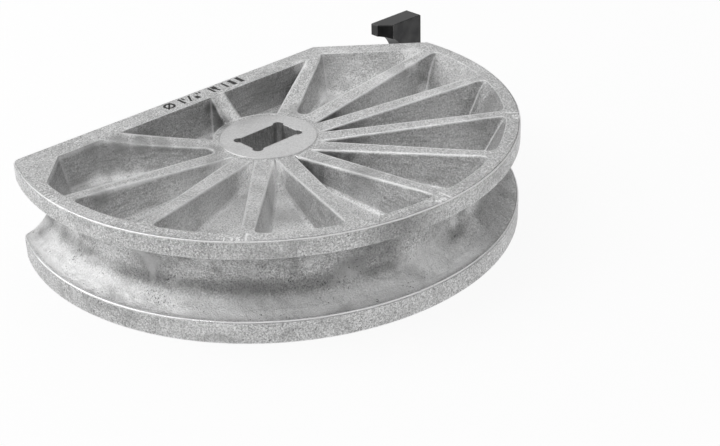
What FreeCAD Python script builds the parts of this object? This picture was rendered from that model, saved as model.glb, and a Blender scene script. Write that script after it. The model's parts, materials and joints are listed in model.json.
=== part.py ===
"""Bending former for round tube: a cast aluminium half disc with a half-round groove, and its steel tube hook.

The frame has +Z up. Its origin is where the axis of the drive hole meets the plane that the die rests on.
+X runs along the straight back edge towards the clipped corner, and +Y points from the axis to the back edge.
Lengths are in millimetres and angles in degrees.
"""
import FreeCAD, Part

import math
import os

import Sketcher

SIZES = [
    ("bend_radius", 133.0, "radius of the rim, and of the centre line of the bent tube"),
    ("die_height", 55.0, "height of the casting"),
    ("upper_flange", 9.8, "height of the rim above the groove"),
    ("groove_radius", 16.5, "radius of the half-round groove, for a 31.75 tube"),
    ("edge_break", 0.7, "chamfer on the outer edges of both flanges"),
    ("back_edge", 53.8, "distance of the straight back edge from the drive axis"),
    ("clip_edge", 94.4, "distance of the clipped edge from the drive axis"),
    ("clip_direction", 49.0, "direction in which the clipped edge faces"),
    ("clip_round", 1.5, "radius of the two upright corners of the clipped edge"),
    ("corner_round", 5.0, "radius of the corner between the back edge and the rim"),
    ("rim_land", 7.7, "width of the flat land on top of the rim"),
    ("back_land", 12.6, "width of the flat land along the back edge"),
    ("clip_land", 11.7, "width of the flat land along the clipped edge"),
    ("corner_share", 0.626, "share of the back wall's room that it takes up before the slanting wall"),
    ("hub_radius", 29.1, "outer radius of the hub at its face"),
    ("hub_recess", 12.0, "depth of the hub's face below the rim"),
    ("hub_ledge", 0.4, "width of the ledge between the hub's face and the back pockets"),
    ("hub_face_radius", 26.0, "radius of the machined ring on the hub"),
    ("hub_face_step", 0.5, "height of the machined ring"),
    ("rib_width", 6.0, "width of a rib at the height of the rim"),
    ("rib_pitch", 22.5, "angle between neighbouring ribs of the bending half"),
    ("back_rib_turn", 30.0, "angle from the ends of the bending half to the first back ribs"),
    ("middle_rib_width", 9.4, "width of the rib that runs square to the back edge"),
    ("wall_draft", 10.0, "draft of the rib walls"),
    ("end_wall_draft", 29.0, "slope of the pocket walls behind the groove"),
    ("back_draft", 4.0, "draft of the walls along the back edge and the middle rib"),
    ("pocket_depth", 21.5, "depth of the pockets below the rim"),
    ("side_end_round", 6.4, "radius of the inner end of a pocket next to the back ribs, at rim height"),
    ("ramp_run_back", 5.5, "run of the ramp behind the clipped edge, measured along the back rib"),
    ("ramp_run_front", 34.1, "run of the same ramp, measured along the first rib"),
    ("pocket_corner", 4.2, "radius at rim height of the pockets' corners behind the groove"),
    ("floor_bevel", 1.3, "bevel between the walls and floors of the pockets"),
    ("drive_length", 30.2, "length of the drive hole"),
    ("drive_width", 18.1, "width of the drive hole"),
    ("relief_radius", 2.8, "radius of the corner reliefs of the drive hole"),
    ("relief_inset", 1.4, "distance of the relief centres inside the hole's corners"),
    ("hook_front", 46.3, "distance of the hook's jaw from the drive axis, along the tube"),
    ("hook_thickness", 12.1, "thickness of the hook's jaw along the tube"),
    ("jaw_radius", 17.4, "radius of the jaw's half-round throat"),
    ("jaw_wall", 14.5, "thickness of the jaw outside its throat"),
    ("jaw_rise", 24.7, "height of the jaw above the tube's centre line"),
    ("jaw_reach", 1.2, "gap from the tube's centre plane to the tip of the jaw"),
    ("jaw_break", 0.5, "chamfer on the upper edges of the jaw"),
    ("jaw_tip_cut", 6.9, "corner cut from the tip of the jaw"),
    ("foot_thickness", 12.0, "thickness of the hook's foot against the clipped edge"),
    ("foot_start", 3.0, "distance of the foot from the back edge's corner"),
    ("foot_length", 31.0, "length of the foot along the clipped edge"),
    ("foot_height", 42.0, "height of the foot"),
    ("arm_round", 4.0, "radius between the arm and the foot"),
    ("screw_radius", 4.0, "radius of the cap screws"),
    ("screw_length", 28.0, "length of a cap screw under its head"),
    ("screw_spacing", 17.0, "distance between the cap screws"),
    ("screw_head_radius", 6.5, "radius of a cap screw's head"),
    ("screw_head_height", 8.0, "height of a cap screw's head"),
    ("screw_socket", 6.0, "width across the flats of the hexagon socket"),
    ("screw_socket_depth", 4.0, "depth of the hexagon socket"),
    ("screw_clearance", 0.1, "gap round a cap screw in its holes"),
]

doc = FreeCAD.newDocument("BendingDie")
sheet = doc.addObject("Spreadsheet::Sheet", "sizes")
for row, (alias, number, meaning) in enumerate(SIZES, start=1):
    sheet.set(f"A{row}", meaning)
    sheet.set(f"B{row}", str(number))
    sheet.setAlias(f"B{row}", alias)
doc.recompute()

# Lengths that several profiles share, written once from the sheet's values
LAND = "(sizes.bend_radius - sizes.rim_land)"
BACK = "(sizes.back_edge - sizes.back_land)"
CLIP = "(sizes.clip_edge - sizes.clip_land)"
TOP = "(sizes.die_height / 2)"
FLOOR = "(sizes.die_height / 2 - sizes.pocket_depth)"
HUB_FACE = "(sizes.die_height / 2 - sizes.hub_recess)"
TUBE = "(sizes.die_height - sizes.upper_flange - sizes.groove_radius)"
OVERSHOOT = "(2 * sizes.bend_radius)"


def value(expression):
    """Return the number that an expression on the sheet gives."""
    result = sheet.evalExpression(expression)
    return float(getattr(result, "Value", result))


def new_body(label, height="0"):
    """Make a body whose own origin stands at the given height."""
    body = doc.addObject("PartDesign::Body", label)
    body.Label = label
    body.setExpression("Placement.Base.z", height)
    return body


def origin_item(body, role):
    """Find one of the body's origin planes or axes."""
    return next(item for item in body.Origin.OriginFeatures if item.Role == role)


def new_sketch(body, name, plane, height="0", turn=None, shift=None):
    """Attach a sketch to an origin plane, raised along its normal, then turned and shifted in it."""
    sketch = body.newObject("Sketcher::SketchObject", name)
    sketch.AttachmentSupport = (origin_item(body, plane), [""])
    sketch.MapMode = "FlatFace"
    sketch.AttachmentOffset = FreeCAD.Placement(FreeCAD.Vector(), FreeCAD.Rotation(FreeCAD.Vector(0, 0, 1), 1))
    sketch.setExpression("AttachmentOffset.Rotation.Angle", turn or "0")
    sketch.setExpression("AttachmentOffset.Base.z", height)
    if shift:
        sketch.setExpression("AttachmentOffset.Base.x", shift[0])
        sketch.setExpression("AttachmentOffset.Base.y", shift[1])
    return sketch


def bind(sketch, kind, *items):
    """Add a dimension to the sketch and tie it to its expression, which comes last."""
    index = sketch.addConstraint(Sketcher.Constraint(kind, *items[:-1], value(items[-1])))
    sketch.setExpression(f"Constraints[{index}]", items[-1])


def arc_between(start, end, radius, side, large):
    """Return the circular arc from start to end, anticlockwise where side is 1 and clockwise where it is -1."""
    chord = end - start
    rise = math.sqrt(max(radius ** 2 - chord.Length ** 2 / 4, 0.0))
    across = FreeCAD.Vector(-chord.y, chord.x, 0).normalize() * (-side if large else side)
    centre = (start + end) / 2 + across * rise
    first, last = (start, end) if side > 0 else (end, start)
    angles = [math.atan2(point.y - centre.y, point.x - centre.x) for point in (first, last)]
    if angles[1] < angles[0]:
        angles[1] += 2 * math.pi
    return Part.ArcOfCircle(Part.Circle(centre, FreeCAD.Vector(0, 0, 1), radius), *angles)


def draw_outline(sketch, corners, arcs=None):
    """Draw a closed outline through corners given as expressions.

    An entry of arcs bends the edge that starts at that corner: its radius, its side and, if past half a turn, large.
    """
    arcs = arcs or {}
    points = [FreeCAD.Vector(value(x), value(y), 0) for x, y in corners]
    ends = []
    for index, start in enumerate(points):
        end = points[(index + 1) % len(points)]
        if index in arcs:
            radius, side, *large = arcs[index]
            geometry = sketch.addGeometry(arc_between(start, end, value(radius), side, bool(large)))
            bind(sketch, "Radius", geometry, radius)
            ends.append((geometry, 1, 2) if side > 0 else (geometry, 2, 1))
        else:
            ends.append((sketch.addGeometry(Part.LineSegment(start, end)), 1, 2))
    for index, (geometry, first, last) in enumerate(ends):
        follower, follower_first, _ = ends[(index + 1) % len(ends)]
        sketch.addConstraint(Sketcher.Constraint("Coincident", geometry, last, follower, follower_first))
        bind(sketch, "DistanceX", -1, 1, geometry, first, corners[index][0])
        bind(sketch, "DistanceY", -1, 1, geometry, first, corners[index][1])


def draw_circle(sketch, x, y, radius):
    """Draw a circle whose centre and radius are expressions."""
    centre = FreeCAD.Vector(value(x), value(y), 0)
    geometry = sketch.addGeometry(Part.Circle(centre, FreeCAD.Vector(0, 0, 1), value(radius)))
    bind(sketch, "DistanceX", -1, 1, geometry, 3, x)
    bind(sketch, "DistanceY", -1, 1, geometry, 3, y)
    bind(sketch, "Radius", geometry, radius)


def add_feature(body, kind, name, profile, **settings):
    """Add a feature to the body; a text setting is an expression, and any other is set as it is."""
    feature = body.newObject(f"PartDesign::{kind}", name)
    feature.Profile = profile
    for setting, given in settings.items():
        if isinstance(given, str):
            feature.setExpression(setting, given)
        else:
            setattr(feature, setting, given)
    doc.recompute()
    return feature


def rim_plane(body):
    """Add the reference plane at rim height, from which the pockets' walls lean."""
    plane = body.newObject("PartDesign::Plane", f"{body.Name}_rim")
    plane.AttachmentSupport = (origin_item(body, "XY_Plane"), [""])
    plane.MapMode = "FlatFace"
    plane.setExpression("AttachmentOffset.Base.z", TOP)
    return plane


def walls_below(shape, sketch, edges):
    """Name the upright faces that hang from some edges of a profile."""
    names = []
    for edge in edges:
        curve = sketch.Geometry[edge]
        middle = curve.value((curve.FirstParameter + curve.LastParameter) / 2)
        vertex = Part.Vertex(sketch.Placement.multVec(middle))
        for index, face in enumerate(shape.Faces, start=1):
            if abs(face.normalAt(0, 0).z) < 0.9 and face.distToShape(vertex)[0] < 0.001:
                names.append(f"Face{index}")
    return names


def drafted_core(name, outline, drafts, turn=None):
    """Make the solid that fills a pocket: straight walls from its outline at rim height, each then drafted.

    An entry of drafts gives an angle and the edges of the outline whose walls lean by it.
    """
    body = new_body(name)
    neutral = rim_plane(body)
    sketch = new_sketch(body, f"{name}_mouth", "XY_Plane", TOP, turn)
    draw_outline(sketch, *outline)
    add_feature(body, "Pad", f"{name}_depth", sketch, Length="sizes.pocket_depth", Reversed=True)
    for number, (angle, edges) in enumerate(drafts, start=1):
        tip = body.Tip
        draft = body.newObject("PartDesign::Draft", f"{name}_draft_{number}")
        draft.Base = (tip, walls_below(tip.Shape, sketch, edges))
        draft.NeutralPlane = (neutral, [""])
        draft.Reversed = True
        draft.setExpression("Angle", angle)
        doc.recompute()
    return body


def dress_edges(body, kind, name, size, chosen):
    """Round or bevel the edges of the body's last shape that the test picks; the size is an expression."""
    tip = body.Tip
    names = [f"Edge{index}" for index, edge in enumerate(tip.Shape.Edges, start=1) if chosen(edge)]
    feature = body.newObject(f"PartDesign::{kind}", name)
    feature.Base = (tip, names)
    feature.setExpression("Radius" if kind == "Fillet" else "Size", size)
    doc.recompute()
    return feature


def upright_edge_near(x, y):
    """Return a test that picks the upright edge which stands at a place given by expressions."""
    place = FreeCAD.Vector(value(x), value(y), 0)

    def chosen(edge):
        ends = [vertex.Point for vertex in edge.Vertexes]
        return all(math.hypot(end.x - place.x, end.y - place.y) < 0.1 for end in ends)
    return chosen


def is_pocket_foot(edge):
    """Tell whether an edge bounds a pocket's floor."""
    return edge.BoundBox.ZMax < value(FLOOR) + 0.01


# The casting is half a disc, built up from its parting plane and mirrored in it
former = new_body("bending_former", TOP)

rim_section = new_sketch(former, "rim_section", "XZ_Plane")
draw_outline(
    rim_section,
    [("0", "0"), ("sizes.bend_radius", "0"), ("sizes.bend_radius", TOP), ("0", TOP)],
)
add_feature(
    former, "Revolution", "disc", rim_section,
    ReferenceAxis=(origin_item(former, "Z_Axis"), [""]), Angle="360",
)

# The dish is a sloping surface from the lands down to the hub, and the tops of the ribs lie in it
BACK_RIB_X = f"({BACK} / tan(sizes.back_rib_turn) + sizes.rib_width / 2 / sin(sizes.back_rib_turn))"
CORNER_X = f"({BACK_RIB_X} + sizes.corner_share * (sqrt({LAND} ^ 2 - {BACK} ^ 2) - {BACK_RIB_X}))"
CORNER = f"(({CORNER_X} + {BACK}) / sqrt(2))"
CLIP_X = f"(({CLIP} - {BACK} * sin(sizes.clip_direction)) / cos(sizes.clip_direction))"
CLIP_RUN = f"sqrt({LAND} ^ 2 - {CLIP} ^ 2)"
CORNER_RUN = f"sqrt({LAND} ^ 2 - {CORNER} ^ 2)"
CORNER_END = (f"-({CORNER} + {CORNER_RUN}) / sqrt(2)", f"({CORNER} - {CORNER_RUN}) / sqrt(2)")
DISH = [
    (f"-{CORNER_X}", BACK),
    (CLIP_X, BACK),
    (
        f"{CLIP} * cos(sizes.clip_direction) + {CLIP_RUN} * sin(sizes.clip_direction)",
        f"{CLIP} * sin(sizes.clip_direction) - {CLIP_RUN} * cos(sizes.clip_direction)",
    ),
    CORNER_END,
]
dish_mouth = new_sketch(former, "dish_mouth", "XY_Plane", TOP)
draw_outline(dish_mouth, DISH, {2: (LAND, -1, True)})
dish_foot = new_sketch(former, "dish_foot", "XY_Plane", HUB_FACE)
HUB_SHARE = [f"sizes.hub_radius / sqrt(({x}) ^ 2 + ({y}) ^ 2)" for x, y in DISH]
draw_outline(
    dish_foot,
    [(f"({x}) * {share}", f"({y}) * {share}") for (x, y), share in zip(DISH, HUB_SHARE)],
    {
        0: ("sizes.hub_radius", -1),
        1: ("sizes.hub_radius", -1),
        2: ("sizes.hub_radius", -1, True),
        3: ("sizes.hub_radius", -1),
    },
)
add_feature(former, "SubtractiveLoft", "dish", dish_mouth, Sections=[dish_foot], Ruled=True)

hub_ring = new_sketch(former, "hub_ring", "XY_Plane", HUB_FACE)
draw_circle(hub_ring, "0", "0", "sizes.hub_face_radius")
add_feature(former, "Pad", "hub_face", hub_ring, Length="sizes.hub_face_step")

HALF_RIB = "(sizes.rib_width / 2)"
HALF_MIDDLE = "(sizes.middle_rib_width / 2)"
HALF_PITCH = "(sizes.rib_pitch / 2)"
BACK_TURN = "sizes.back_rib_turn"
HUB_WALL = "(sizes.hub_radius + sizes.hub_ledge - sizes.hub_recess * tan(sizes.wall_draft))"


def along(turn, reach, aside):
    """Return the point at a distance along a direction and a distance to its left, as expressions."""
    return (
        f"(({reach}) * cos({turn}) - ({aside}) * sin({turn}))",
        f"(({reach}) * sin({turn}) + ({aside}) * cos({turn}))",
    )


# The bending half has equal pockets between its ribs, drawn about the X axis of a turned sketch
RIB_END = f"sqrt({LAND} ^ 2 - {HALF_RIB} ^ 2)"
ROUND_START = f"sqrt(({LAND} - sizes.pocket_corner) ^ 2 - ({HALF_RIB} + sizes.pocket_corner) ^ 2)"
OUT_TO_LAND = f"({LAND} / ({LAND} - sizes.pocket_corner))"
ROUND_END = (f"({ROUND_START} * {OUT_TO_LAND})", f"(({HALF_RIB} + sizes.pocket_corner) * {OUT_TO_LAND})")
bending_cores = drafted_core(
    "bending_cores",
    (
        [
            (f"({HALF_RIB} / sin({HALF_PITCH}))", "0"),
            along(f"-{HALF_PITCH}", ROUND_START, HALF_RIB),
            along(f"-{HALF_PITCH}", *ROUND_END),
            along(HALF_PITCH, ROUND_END[0], f"-{ROUND_END[1]}"),
            along(HALF_PITCH, ROUND_START, f"-{HALF_RIB}"),
        ],
        {1: ("sizes.pocket_corner", 1), 2: (LAND, 1), 3: ("sizes.pocket_corner", 1)},
    ),
    [("sizes.wall_draft", [0, 1, 2, 3, 4])],
    f"-{HALF_PITCH}",
)
end_wall = new_sketch(bending_cores, "end_wall_section", "XZ_Plane")
END_WALL_FOOT = f"({LAND} - sizes.pocket_depth * tan(sizes.end_wall_draft))"
draw_outline(
    end_wall,
    [(LAND, TOP), (END_WALL_FOOT, FLOOR), (OVERSHOOT, FLOOR), (OVERSHOOT, TOP)],
)
add_feature(
    bending_cores, "Groove", "end_wall", end_wall,
    ReferenceAxis=(origin_item(bending_cores, "Z_Axis"), [""]), Angle="360",
)
dress_edges(bending_cores, "Chamfer", "bending_core_foot", "sizes.floor_bevel", is_pocket_foot)
pocket_ring = bending_cores.newObject("PartDesign::PolarPattern", "pocket_ring")
pocket_ring.TransformMode = "Whole shape"
pocket_ring.Axis = (origin_item(bending_cores, "Z_Axis"), [""])
pocket_ring.Reversed = True
pocket_ring.setExpression("Angle", "180 - sizes.rib_pitch")
pocket_ring.setExpression("Occurrences", "180 / sizes.rib_pitch")
bending_cores.Tip = pocket_ring
doc.recompute()

# Behind the clipped edge the outer wall is a ramp, which twists as it falls to a foot of another direction
clip_core = new_body("clip_core")
SIDE_START = f"(({HALF_RIB} + sizes.side_end_round) / tan({BACK_TURN} / 2))"
SIDE_SHIFT = "(sizes.pocket_depth * tan(sizes.wall_draft))"
LEAN = f"(sizes.clip_direction - {BACK_TURN})"
RAMP_TOP_FRONT = (
    f"min(({CLIP} - {HALF_RIB} * sin(sizes.clip_direction)) / cos(sizes.clip_direction); {RIB_END})"
)
RAMP_TOP_BACK = f"(({CLIP} + {HALF_RIB} * sin({LEAN})) / cos({LEAN}))"


def clip_section(level, height, side, nose, front, back):
    """Draw the pocket's outline at one height, from its reach along the first rib and along the back rib."""
    section = new_sketch(clip_core, f"clip_core_{level}", "XY_Plane", height)
    draw_outline(
        section,
        [
            along("0", SIDE_START, side),
            along("0", front, side),
            along(BACK_TURN, back, f"-{side}"),
            along(BACK_TURN, SIDE_START, f"-{side}"),
        ],
        {3: (nose, 1)},
    )
    return section


clip_mouth = clip_section("mouth", TOP, HALF_RIB, "sizes.side_end_round", RAMP_TOP_FRONT, RAMP_TOP_BACK)
clip_floor = clip_section(
    "floor", FLOOR, f"({HALF_RIB} + {SIDE_SHIFT})", f"(sizes.side_end_round - {SIDE_SHIFT})",
    f"({RAMP_TOP_FRONT} - sizes.ramp_run_front)", f"({RAMP_TOP_BACK} - sizes.ramp_run_back)",
)
add_feature(clip_core, "AdditiveLoft", "clip_ramp", clip_mouth, Sections=[clip_floor], Ruled=True)
dress_edges(clip_core, "Chamfer", "clip_core_foot", "sizes.floor_bevel", is_pocket_foot)


def back_core(name, mirror):
    """Make the core of the pocket beside the middle rib, on its right where mirror is 1."""
    corners = [
        along(BACK_TURN, f"sqrt({HUB_WALL} ^ 2 - {HALF_RIB} ^ 2)", HALF_RIB),
        along(BACK_TURN, f"(({BACK} - {HALF_RIB} * cos({BACK_TURN})) / sin({BACK_TURN}))", HALF_RIB),
        (HALF_MIDDLE, BACK),
        (HALF_MIDDLE, f"sqrt({HUB_WALL} ^ 2 - {HALF_MIDDLE} ^ 2)"),
    ]
    if mirror < 0:
        corners = [(f"-{x}", y) for x, y in corners]
    drafts = [("sizes.wall_draft", [0, 3]), ("sizes.back_draft", [1, 2])]
    body = drafted_core(name, (corners, {3: (HUB_WALL, -mirror)}), drafts)
    dress_edges(body, "Chamfer", f"{name}_foot", "sizes.floor_bevel", is_pocket_foot)
    return body


# In the far corner a slanting wall runs behind the rounded corner of the casting
FAR_TURN = f"(180 - {BACK_TURN})"
corner_core = drafted_core(
    "corner_core",
    (
        [
            along(FAR_TURN, SIDE_START, HALF_RIB),
            along(FAR_TURN, f"(({BACK} + {HALF_RIB} * cos({BACK_TURN})) / sin({BACK_TURN}))", HALF_RIB),
            (f"-{CORNER_X}", BACK),
            CORNER_END,
            (f"-{RIB_END}", HALF_RIB),
            (f"-{SIDE_START}", HALF_RIB),
        ],
        {3: (LAND, 1), 5: ("sizes.side_end_round", 1)},
    ),
    [
        ("sizes.wall_draft", [0, 4, 5, 2]),
        ("sizes.back_draft", [1]),
        ("sizes.end_wall_draft", [3]),
    ],
)
dress_edges(corner_core, "Chamfer", "corner_core_foot", "sizes.floor_bevel", is_pocket_foot)

pockets = former.newObject("PartDesign::Boolean", "pockets")
pockets.Type = "Cut"
pockets.setObjects([
    bending_cores,
    clip_core,
    back_core("right_back_core", 1),
    back_core("left_back_core", -1),
    corner_core,
])
former.Tip = pockets
doc.recompute()

# The straight back edge and the clipped edge are cut off the disc
back_outline = new_sketch(former, "back_outline", "XY_Plane")
CLIP_CORNER = "((sizes.back_edge - sizes.clip_edge * sin(sizes.clip_direction)) / cos(sizes.clip_direction))"
draw_outline(
    back_outline,
    [
        (f"-{OVERSHOOT}", "sizes.back_edge"),
        along("sizes.clip_direction", "sizes.clip_edge", CLIP_CORNER),
        along("sizes.clip_direction", "sizes.clip_edge", f"-{OVERSHOOT}"),
        (OVERSHOOT, OVERSHOOT),
        (f"-{OVERSHOOT}", OVERSHOOT),
    ],
)
add_feature(
    former, "Pocket", "back_cut", back_outline,
    Length="2 * sizes.die_height", Midplane=True,
)

RIM_END_X = "sqrt(sizes.bend_radius ^ 2 - sizes.back_edge ^ 2)"
dress_edges(
    former, "Fillet", "far_corner_round", "sizes.corner_round",
    upright_edge_near(f"-{RIM_END_X}", "sizes.back_edge"),
)
CLIP_END = "sqrt(sizes.bend_radius ^ 2 - sizes.clip_edge ^ 2)"
dress_edges(
    former, "Fillet", "clip_end_round", "sizes.clip_round",
    upright_edge_near(*along("sizes.clip_direction", "sizes.clip_edge", f"-{CLIP_END}")),
)
dress_edges(
    former, "Fillet", "clip_start_round", "sizes.clip_round",
    upright_edge_near(*along("sizes.clip_direction", "sizes.clip_edge", CLIP_CORNER)),
)

half_shape = former.Tip.Shape
rim_tops = [face for face in half_shape.Faces if abs(face.CenterOfMass.z - value(TOP)) < 0.001]
outline = max(rim_tops, key=lambda face: face.Area).OuterWire
dress_edges(
    former, "Chamfer", "top_edge_break", "sizes.edge_break",
    lambda edge: any(edge.isSame(other) for other in outline.Edges),
)

other_half = former.newObject("PartDesign::Mirrored", "other_half")
other_half.TransformMode = "Whole shape"
other_half.MirrorPlane = (origin_item(former, "XY_Plane"), [""])
former.Tip = other_half
doc.recompute()

# The tube lies in a half-round groove, nearer to the top than to the bottom, with broken edges
tube_section = new_sketch(former, "tube_section", "XZ_Plane")
LIP = "(sizes.bend_radius - sizes.edge_break)"
LIP_RISE = "sqrt(sizes.groove_radius ^ 2 - sizes.edge_break ^ 2)"
BREAK_RISE = f"({LIP_RISE} + 2 * sizes.edge_break)"
draw_outline(
    tube_section,
    [
        ("(sizes.bend_radius + sizes.edge_break)", f"({TUBE} - {TOP} + {BREAK_RISE})"),
        (LIP, f"({TUBE} - {TOP} + {LIP_RISE})"),
        (LIP, f"({TUBE} - {TOP} - {LIP_RISE})"),
        ("(sizes.bend_radius + sizes.edge_break)", f"({TUBE} - {TOP} - {BREAK_RISE})"),
    ],
    {1: ("sizes.groove_radius", 1)},
)
add_feature(
    former, "Groove", "tube_groove", tube_section,
    ReferenceAxis=(origin_item(former, "Z_Axis"), [""]), Angle="360",
)

# The drive hole has round reliefs in its corners
drive_outline = new_sketch(former, "drive_outline", "XY_Plane")
HALF_LENGTH, HALF_WIDTH = "sizes.drive_length / 2", "sizes.drive_width / 2"
draw_outline(
    drive_outline,
    [
        (f"-{HALF_LENGTH}", f"-{HALF_WIDTH}"),
        (HALF_LENGTH, f"-{HALF_WIDTH}"),
        (HALF_LENGTH, HALF_WIDTH),
        (f"-{HALF_LENGTH}", HALF_WIDTH),
    ],
)
add_feature(former, "Pocket", "drive_hole", drive_outline, Length="2 * sizes.die_height", Midplane=True)
relief_outline = new_sketch(former, "relief_outline", "XY_Plane")
for side_x in ("-", ""):
    for side_y in ("-", ""):
        draw_circle(
            relief_outline,
            f"{side_x}({HALF_LENGTH} - sizes.relief_inset)",
            f"{side_y}({HALF_WIDTH} - sizes.relief_inset)",
            "sizes.relief_radius",
        )
add_feature(former, "Pocket", "corner_reliefs", relief_outline, Length="2 * sizes.die_height", Midplane=True)

# Both screws stand square to the clipped edge, at half the height of the casting
SCREW_MIDDLE = f"({CLIP_CORNER} - sizes.foot_start - sizes.foot_length / 2)"
SCREWS = {
    "hook_screw_1": f"({SCREW_MIDDLE} + sizes.screw_spacing / 2)",
    "hook_screw_2": f"({SCREW_MIDDLE} - sizes.screw_spacing / 2)",
}
SHANK_HOLE = "(sizes.screw_radius + sizes.screw_clearance)"
HEAD_HOLE = "(sizes.screw_head_radius + sizes.screw_clearance)"
FOOT_FACE = "(sizes.clip_edge + sizes.foot_thickness)"
HEAD_SEAT = f"({FOOT_FACE} - sizes.screw_head_height)"


def sketch_on_clip(body, name, distance):
    """Attach a sketch to a plane parallel to the clipped edge; its X axis runs towards the back edge."""
    plane = body.newObject("PartDesign::Plane", f"{name}_plane")
    plane.AttachmentSupport = (origin_item(body, "XZ_Plane"), [""])
    plane.MapMode = "FlatFace"
    plane.AttachmentOffset = FreeCAD.Placement(FreeCAD.Vector(), FreeCAD.Rotation(FreeCAD.Vector(0, 1, 0), 1))
    plane.setExpression("AttachmentOffset.Rotation.Angle", "90 + sizes.clip_direction")
    plane.setExpression("AttachmentOffset.Base.x", f"{distance} * cos(sizes.clip_direction)")
    plane.setExpression("AttachmentOffset.Base.z", f"-{distance} * sin(sizes.clip_direction)")
    sketch = body.newObject("Sketcher::SketchObject", name)
    sketch.AttachmentSupport = (plane, [""])
    sketch.MapMode = "FlatFace"
    doc.recompute()
    return sketch


def cut_screw_holes(body, name, distance, height, radius, depth):
    """Cut a hole for each screw from a plane parallel to the clipped edge, towards the drive axis."""
    sketch = sketch_on_clip(body, f"{name}_places", distance)
    for place in SCREWS.values():
        draw_circle(sketch, place, height, radius)
    add_feature(body, "Pocket", name, sketch, Length=depth)


cut_screw_holes(
    former, "screw_holes", "sizes.clip_edge", "0", SHANK_HOLE,
    f"(sizes.clip_edge - {HEAD_SEAT} + sizes.screw_length + sizes.screw_clearance)",
)

# The hook is an arm under the tube, with a jaw beyond the tube and a foot against the clipped edge
hook = new_body("tube_hook")
JAW_BACK = "(sizes.hook_front + sizes.hook_thickness)"
JAW_SIDE = "(sizes.bend_radius + sizes.jaw_radius + sizes.jaw_wall)"
JAW_TIP = "(sizes.bend_radius + sizes.jaw_reach)"
JAW_TOP = f"({TUBE} + sizes.jaw_rise)"
ARM_TOP = f"({TUBE} - sizes.jaw_radius)"
FOOT_NEAR = f"({CLIP_CORNER} - sizes.foot_start)"
FOOT_FAR = f"({FOOT_NEAR} - sizes.foot_length)"

arm_outline = new_sketch(hook, "arm_outline", "XY_Plane")
draw_outline(
    arm_outline,
    [
        along("sizes.clip_direction", "sizes.clip_edge", FOOT_NEAR),
        along("sizes.clip_direction", "sizes.clip_edge", FOOT_FAR),
        (JAW_SIDE, "sizes.hook_front"),
        (JAW_SIDE, JAW_BACK),
        along("sizes.clip_direction", FOOT_FACE, FOOT_NEAR),
    ],
)
add_feature(hook, "Pad", "arm", arm_outline, Length=ARM_TOP)

jaw_outline = new_sketch(hook, "jaw_outline", "XZ_Plane", f"-{JAW_BACK}")
draw_outline(
    jaw_outline,
    [
        (JAW_TIP, JAW_TOP),
        (JAW_TIP, f"({TUBE} + sqrt(sizes.jaw_radius ^ 2 - sizes.jaw_reach ^ 2))"),
        ("sizes.bend_radius", ARM_TOP),
        ("sizes.bend_radius", "0"),
        (JAW_SIDE, "0"),
        (JAW_SIDE, JAW_TOP),
    ],
    {1: ("sizes.jaw_radius", -1)},
)
add_feature(hook, "Pad", "jaw", jaw_outline, Length="sizes.hook_thickness")

foot_outline = sketch_on_clip(hook, "foot_outline", "sizes.clip_edge")
draw_outline(
    foot_outline,
    [(FOOT_FAR, "0"), (FOOT_NEAR, "0"), (FOOT_NEAR, "sizes.foot_height"), (FOOT_FAR, "sizes.foot_height")],
)
add_feature(hook, "Pad", "foot", foot_outline, Length="sizes.foot_thickness")


def level_edge(height, distance=None):
    """Return a test that picks level edges at a height, and if asked on a plane parallel to the clipped edge."""
    direction = math.radians(value("sizes.clip_direction"))

    def chosen(edge):
        ends = [vertex.Point for vertex in edge.Vertexes]
        if any(abs(end.z - value(height)) > 0.001 for end in ends):
            return False
        if distance is None:
            return True
        reach = [end.x * math.cos(direction) + end.y * math.sin(direction) for end in ends]
        return all(abs(one - value(distance)) < 0.001 for one in reach)
    return chosen


dress_edges(hook, "Fillet", "arm_root", "sizes.arm_round", level_edge(ARM_TOP, FOOT_FACE))
dress_edges(hook, "Chamfer", "jaw_tip_corner", "sizes.jaw_tip_cut", upright_edge_near(JAW_TIP, "sizes.hook_front"))
dress_edges(hook, "Chamfer", "jaw_top_break", "sizes.jaw_break", level_edge(JAW_TOP))
cut_screw_holes(hook, "foot_holes", FOOT_FACE, TOP, SHANK_HOLE, "sizes.foot_thickness")
cut_screw_holes(hook, "head_recesses", FOOT_FACE, TOP, HEAD_HOLE, "sizes.screw_head_height")

# The cap screws stand head up in their own frames and are then laid square to the clipped edge
SOCKET_CORNER = "(sizes.screw_socket / 2 / cos(30))"
screws = []
for name, place in SCREWS.items():
    screw = new_body(name)
    screw_section = new_sketch(screw, f"{name}_section", "XZ_Plane")
    draw_outline(
        screw_section,
        [
            ("0", "-sizes.screw_length"),
            ("sizes.screw_radius", "-sizes.screw_length"),
            ("sizes.screw_radius", "0"),
            ("sizes.screw_head_radius", "0"),
            ("sizes.screw_head_radius", "sizes.screw_head_height"),
            ("0", "sizes.screw_head_height"),
        ],
    )
    add_feature(
        screw, "Revolution", f"{name}_turned", screw_section,
        ReferenceAxis=(origin_item(screw, "Z_Axis"), [""]), Angle="360",
    )
    hexagon = new_sketch(screw, f"{name}_hexagon", "XY_Plane", "sizes.screw_head_height")
    draw_outline(
        hexagon,
        [(f"{SOCKET_CORNER} * cos({turn})", f"{SOCKET_CORNER} * sin({turn})") for turn in range(0, 360, 60)],
    )
    add_feature(screw, "Pocket", f"{name}_socket", hexagon, Length="sizes.screw_socket_depth")
    seat_x, seat_y = along("sizes.clip_direction", HEAD_SEAT, place)
    screw.setExpression("Placement", (
        f"create(<<placement>>; create(<<vector>>; {seat_x}; {seat_y}; {TOP});"
        " create(<<rotation>>; sizes.clip_direction; 90; 0))"
    ))
    screws.append(screw)

doc.recompute()
for item in doc.Objects:
    if "Invalid" in item.State or "Error" in item.State:
        raise RuntimeError(f"{item.Name} isn't computed: {item.State}")

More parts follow.
